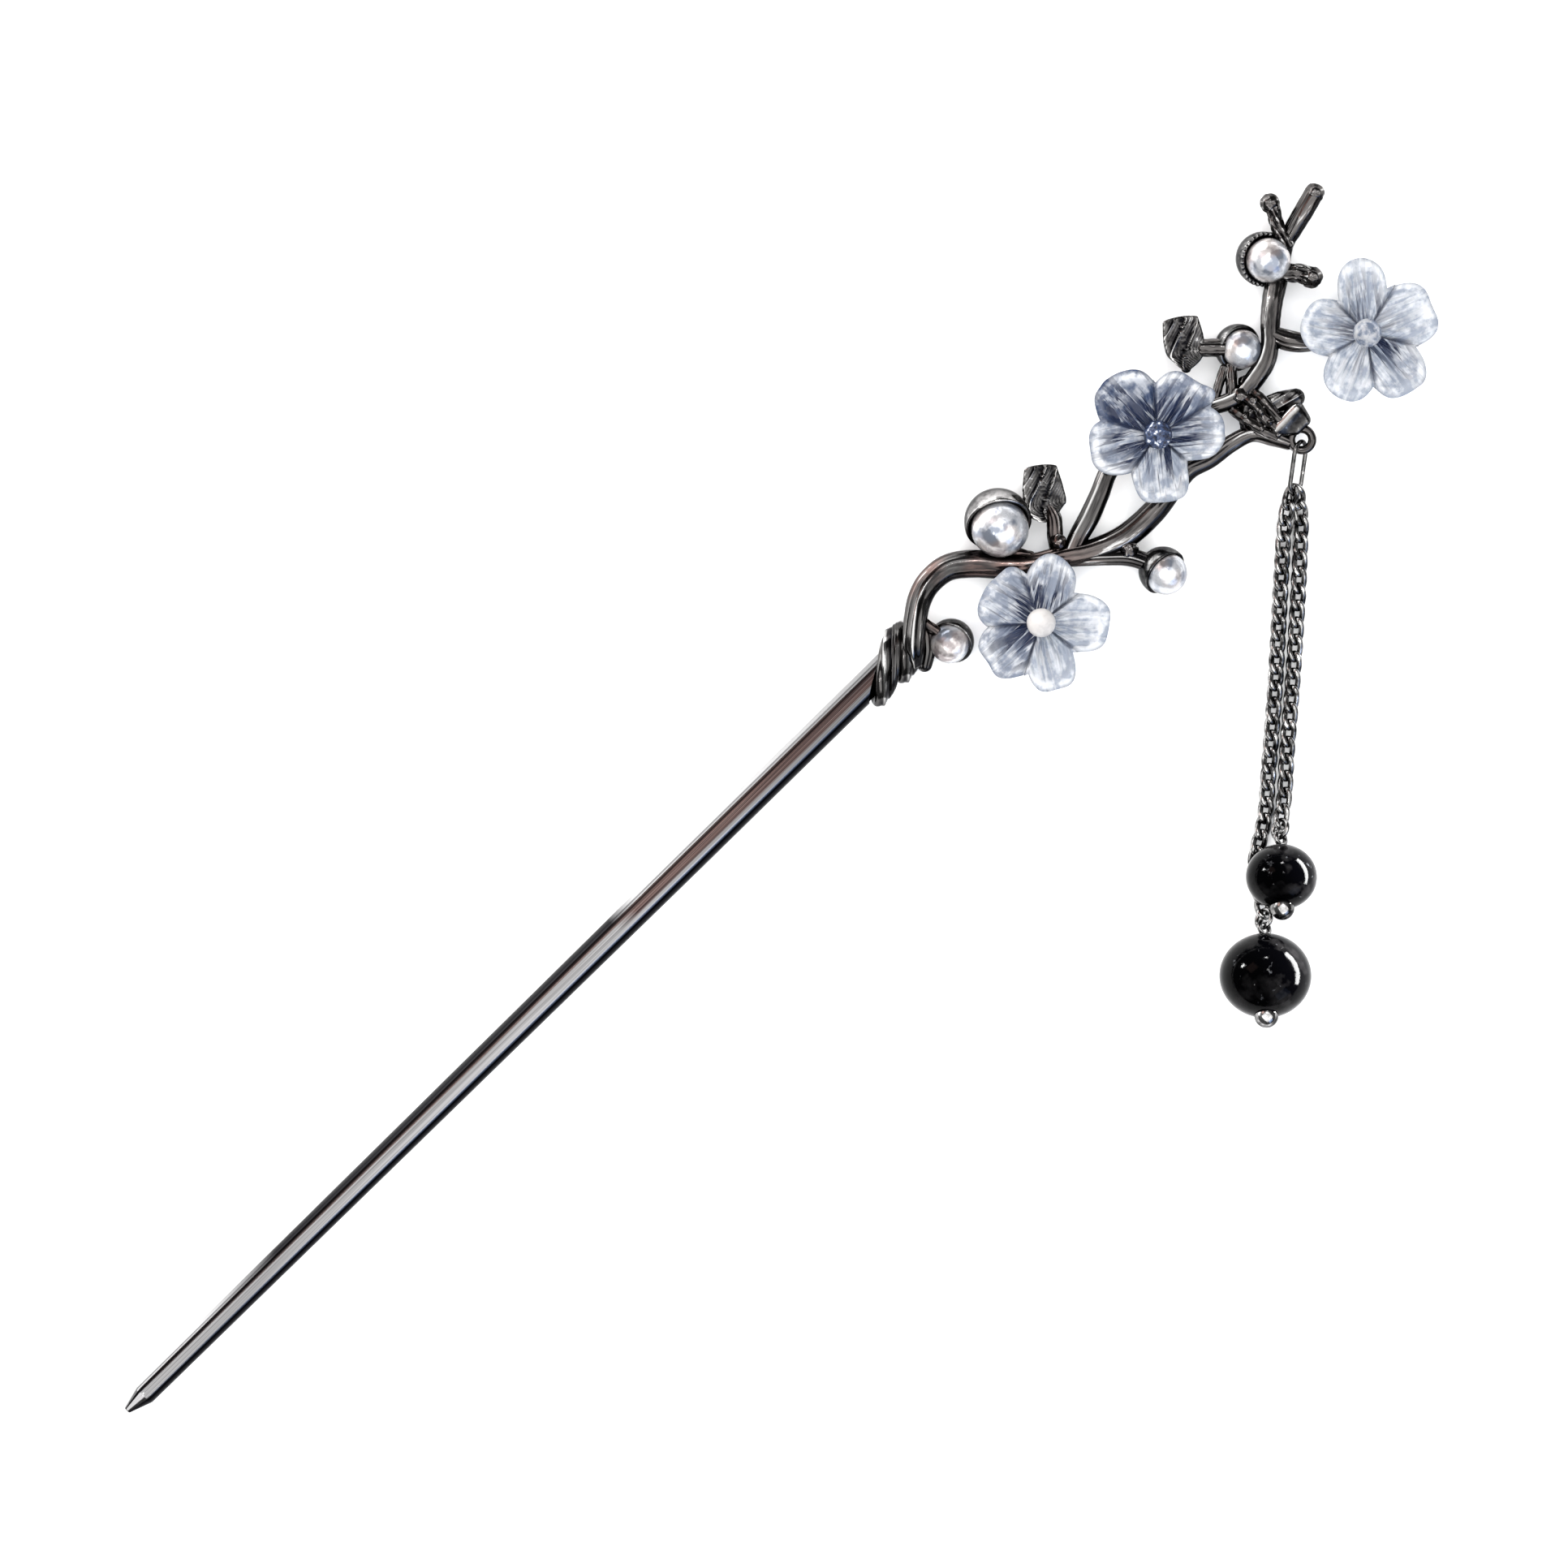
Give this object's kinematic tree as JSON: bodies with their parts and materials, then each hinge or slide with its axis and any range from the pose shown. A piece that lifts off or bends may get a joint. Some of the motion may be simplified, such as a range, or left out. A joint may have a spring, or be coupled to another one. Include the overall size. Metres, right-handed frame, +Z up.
{
  "type": "hair stick",
  "caption": "Metal hair stick whose root is wrapped by a plum-blossom branch with glass flowers, pearls and a chain tassel ending in black beads.",
  "frame": {"origin": "centre of the footprint, on the surface the hair stick lies on", "axes": "+X along the stick from its point to the branch, +Y across on the side away from the tassel, +Z up from the surface the stick lies on"},
  "size_m": [0.1892, 0.0667, 0.0102],
  "materials": {
    "gunmetal": "polished black-nickel plate with a warm tint",
    "findings": "polished grey plate on rings, chains and pins",
    "petal_glass": "moulded ice-blue translucent glass with ink-blue streaks",
    "milk_glass": "glossy warm-white bead on a metal pin",
    "centre_metal": "polished dark bead and pin",
    "clear_glass": "clear glass bead on a pin",
    "pearl": "silvery imitation pearl, high lustre",
    "black_bead": "polished black stone with faint grey clouds"
  },
  "bodies": {
    "root": {"shaft": "gunmetal", "branch": "gunmetal", "flower_low": "petal_glass", "flower_mid": "petal_glass", "flower_top": "petal_glass", "centre_low": "milk_glass", "centre_mid": "centre_metal", "centre_top": "clear_glass", "pearl_arch": "pearl", "pearl_root": "pearl", "pearl_twig": "pearl", "pearl_knot": "pearl", "pearl_top": "pearl", "jump_ring": "findings", "chain_short": "findings", "chain_long": "findings", "ring_short": "findings", "ring_long": "findings", "pin_short": "findings", "pin_long": "findings", "bead_small": "black_bead", "bead_large": "black_bead"}
  },
  "joints": []
}
